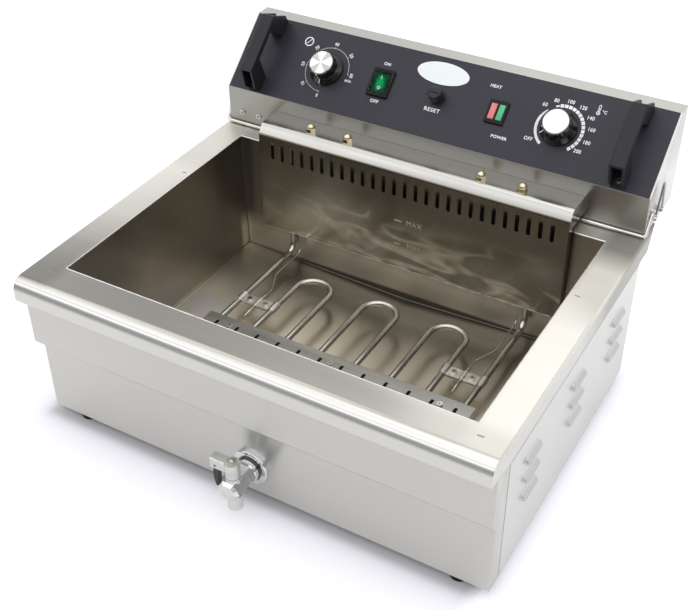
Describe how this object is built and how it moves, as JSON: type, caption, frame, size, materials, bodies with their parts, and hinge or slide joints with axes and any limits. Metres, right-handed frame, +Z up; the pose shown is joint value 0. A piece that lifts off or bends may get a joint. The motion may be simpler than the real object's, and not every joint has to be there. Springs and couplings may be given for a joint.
{
  "type": "electric deep fryer",
  "caption": "Counter-top electric deep fryer: brushed steel casing, open oil tank with serpentine heating element, sloping black control head, front drain tap.",
  "frame": {"origin": "on the counter, under the middle of the fryer's bounding box", "axes": "+X to the right seen from the front, +Y to the back, +Z up"},
  "size_m": [0.582, 0.537, 0.3502],
  "materials": {
    "casing_steel": "fine straight brushing, satin",
    "deck_steel": "long brushing along the rim, satin",
    "tank_steel": "rolled sheet, semi-bright",
    "head_steel": "fine brushing, satin",
    "guard_steel": "rolled sheet, semi-bright",
    "element_steel": "bright drawn tube",
    "wire_steel": "bright drawn wire",
    "fastener_steel": "bright",
    "nut_brass": "passivated, semi-bright",
    "tap_chrome": "polished plating",
    "lever_zinc": "satin cast",
    "fascia_black": "satin black print",
    "handle_black": "fine grained",
    "knob_black": "semi-gloss moulded",
    "cap_silver": "turned face",
    "switch_black": "semi-gloss moulded",
    "rocker_green": "translucent green",
    "cover_clear": "clear soft cover",
    "button_black": "moulded",
    "lens_red": "translucent red",
    "lens_green": "translucent green",
    "badge_white": "smooth",
    "rubber_black": "matt",
    "unit_plastic": "moulded phenolic",
    "copper_line": "drawn tube"
  },
  "bodies": {
    "base": {"deck": "deck_steel", "tank": "tank_steel", "apron": "casing_steel", "front_casing": "casing_steel", "side_panel_left": "casing_steel", "side_panel_right": "casing_steel", "rear_panel": "casing_steel", "bottom_plate": "casing_steel", "feet": "rubber_black", "drain_pipe": "element_steel", "drain_collar": "tap_chrome", "drain_seal": "rubber_black", "drain_ring": "tap_chrome", "tap_body": "tap_chrome", "tap_bonnet": "tap_chrome"},
    "head": {"head_casing": "head_steel", "head_base": "head_steel", "head_rear_cover": "head_steel", "case_screws": "fastener_steel", "fascia_panel": "fascia_black", "oval_plate": "badge_white", "handle_left": "handle_black", "handle_right": "handle_black", "handle_screws": "fastener_steel", "timer_unit": "unit_plastic", "thermostat_unit": "unit_plastic", "switch_housing": "switch_black", "switch_cover": "cover_clear", "limiter_unit": "unit_plastic", "reset_collar": "button_black", "lamp_housing": "switch_black", "lamp_lens_red": "lens_red", "lamp_lens_green": "lens_green", "heater_element": "element_steel", "element_nuts": "fastener_steel", "guard": "guard_steel", "guard_bracket": "guard_steel", "guard_nuts": "nut_brass", "rail": "wire_steel", "rail_pegs": "fastener_steel", "rail_clips": "wire_steel", "support_strip": "guard_steel", "clamp_plates": "guard_steel", "clamp_screws": "fastener_steel", "thermostat_bulb": "copper_line", "limiter_bulb": "copper_line", "interlock_switch": "unit_plastic", "cable_gland": "switch_black"},
    "tap_lever": {"tap_plug": "tap_chrome", "tap_lever": "lever_zinc", "tap_nut": "nut_brass"},
    "tap_latch": {"tap_latch": "button_black"},
    "timer_dial": {"timer_shaft": "fastener_steel", "timer_knob": "knob_black", "timer_cap": "cap_silver"},
    "thermostat_dial": {"thermostat_shaft": "fastener_steel", "thermostat_knob": "knob_black", "thermostat_cap": "cap_silver"},
    "rocker": {"switch_rocker": "rocker_green"},
    "reset": {"reset_button": "button_black"}
  },
  "joints": [
    {"name": "head_lift", "type": "slide", "parent": "base", "child": "head", "axis": [0, 0, 1], "range_m": [0, 0.2]},
    {"name": "timer_turn", "type": "hinge", "parent": "head", "child": "timer_dial", "pos_m": [-0.156, 0.2074, 0.29643], "axis": [0, 0.6706, -0.7418], "range_deg": [0, 270]},
    {"name": "thermostat_turn", "type": "hinge", "parent": "head", "child": "thermostat_dial", "pos_m": [0.156, 0.2074, 0.29643], "axis": [0, 0.6706, -0.7418], "range_deg": [0, 249]},
    {"name": "switch_rock", "type": "hinge", "parent": "head", "child": "rocker", "pos_m": [-0.078, 0.2074, 0.29643], "axis": [-1, 0, 0], "range_deg": [0, 16]},
    {"name": "reset_press", "type": "slide", "parent": "head", "child": "reset", "axis": [0, 0.6706, -0.7418], "range_m": [0, 0.003], "stiffness_N_per_m": 600},
    {"name": "tap_turn", "type": "hinge", "parent": "base", "child": "tap_lever", "pos_m": [0, -0.2555, 0.0692], "axis": [0, 0, 1], "range_deg": [0, 90]},
    {"name": "latch_swing", "type": "hinge", "parent": "tap_lever", "child": "tap_latch", "pos_m": [-0.0185, -0.2555, 0.0732], "axis": [0, 1, 0], "range_deg": [0, 25]}
  ]
}
